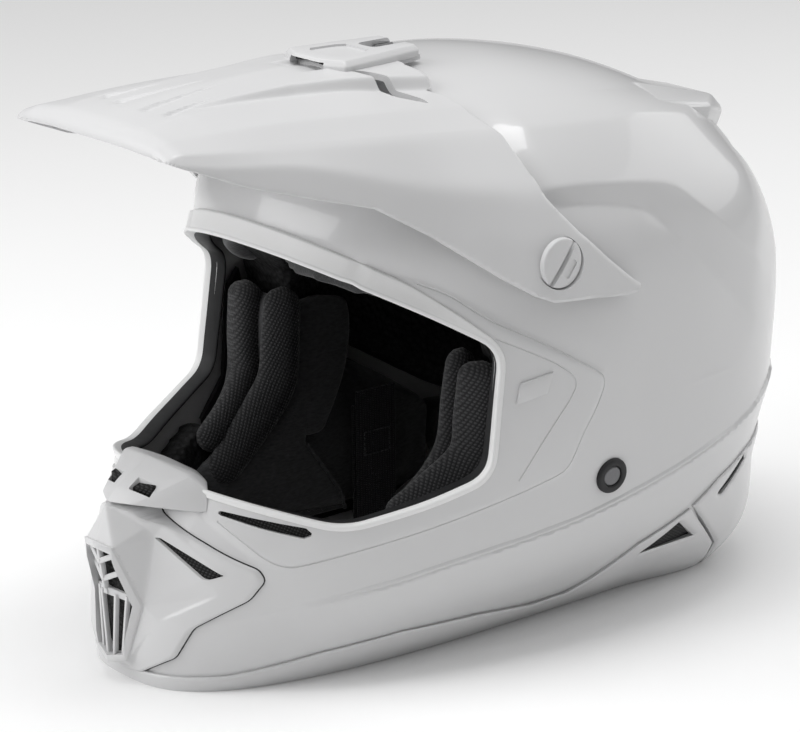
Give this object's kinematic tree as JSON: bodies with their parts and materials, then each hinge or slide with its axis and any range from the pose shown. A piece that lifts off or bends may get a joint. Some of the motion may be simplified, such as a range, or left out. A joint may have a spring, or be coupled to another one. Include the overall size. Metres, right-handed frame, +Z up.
{
  "type": "motocross helmet",
  "caption": "Full-face off-road helmet with a long tilting peak, wide eyeport, vented mouth piece, padded liner and a D-ring chin strap.",
  "frame": {"origin": "middle of the neck opening, on the surface that the helmet rests on, below the line of the ears", "axes": "+Z up through the crown, -Y is the way the helmet faces, +X is the wearer's left"},
  "size_m": [0.2564, 0.3742, 0.274],
  "materials": {
    "shell_white": "glossy white lacquer over a glass-fibre shell",
    "plastic_white": "satin-gloss white moulded plastic",
    "rim_white": "soft white rubber edging",
    "black_rubber": "matt black rubber",
    "black_mesh": "black woven mesh",
    "filter_foam": "black open-cell foam",
    "foam_grey": "moulded bead foam, painted black",
    "pad_shell": "textured black plastic",
    "liner_fabric": "brushed and knitted black fabric over foam",
    "webbing": "black woven webbing",
    "steel": "satin plated steel"
  },
  "bodies": {
    "root": {"outer_shell": "shell_white", "crown_foam": "foam_grey", "chin_foam": "foam_grey", "eyeport_rim": "rim_white", "lower_trim": "shell_white", "rear_trim": "shell_white", "neck_lip": "black_rubber", "corner_vent_left": "black_mesh", "corner_vent_right": "black_mesh", "exhaust_vent_left": "black_mesh", "exhaust_vent_right": "black_mesh", "mouth_housing": "plastic_white", "mouth_grille": "plastic_white", "mouth_filter": "filter_foam", "mouth_mesh_left": "black_mesh", "mouth_mesh_right": "black_mesh", "nose_guard": "plastic_white", "nose_guard_mesh": "black_mesh", "chin_mesh_left": "black_mesh", "chin_mesh_right": "black_mesh", "strap_grommet_left": "black_rubber", "strap_grommet_right": "black_rubber", "strap_rivet_left": "steel", "strap_rivet_right": "steel", "chin_strap_left": "webbing", "chin_strap_right": "webbing", "crown_pad": "liner_fabric", "brow_pad": "liner_fabric", "cheek_plate_left": "pad_shell", "cheek_plate_right": "pad_shell", "cheek_pad_left": "liner_fabric", "cheek_pad_right": "liner_fabric", "neck_roll": "liner_fabric", "screw_insert_left": "steel", "screw_insert_right": "steel", "top_screw": "steel"},
    "peak": {"peak": "plastic_white", "peak_scoop": "plastic_white", "peak_scoop_mesh": "black_mesh", "pivot_bush_left": "black_rubber", "pivot_bush_right": "black_rubber"},
    "screw_left": {"peak_screw_left": "plastic_white"},
    "screw_right": {"peak_screw_right": "plastic_white"},
    "ring_outer": {"d_ring_outer": "steel"},
    "ring_inner": {"d_ring_inner": "steel"}
  },
  "joints": [
    {"name": "peak_tilt", "type": "hinge", "parent": "root", "child": "peak", "pos_m": [0, -0.0445, 0.193], "axis": [-1, 0, 0], "range_deg": [-3, 4]},
    {"name": "screw_left_turn", "type": "hinge", "parent": "root", "child": "screw_left", "pos_m": [0.12, -0.0445, 0.193], "axis": [1, 0, 0], "continuous": true},
    {"name": "screw_right_turn", "type": "hinge", "parent": "root", "child": "screw_right", "pos_m": [-0.12, -0.0445, 0.193], "axis": [-1, 0, 0], "continuous": true},
    {"name": "ring_outer_swing", "type": "hinge", "parent": "root", "child": "ring_outer", "pos_m": [0.05645, -0.008, 0.03], "axis": [0, 1, 0], "range_deg": [0, 30]},
    {"name": "ring_inner_swing", "type": "hinge", "parent": "root", "child": "ring_inner", "pos_m": [0.05225, -0.008, 0.03], "axis": [0, 1, 0], "range_deg": [0, 60]}
  ],
  "couplings": [
    {"joint": "ring_outer_swing", "follows": "ring_inner_swing", "ratio": 0.5}
  ]
}
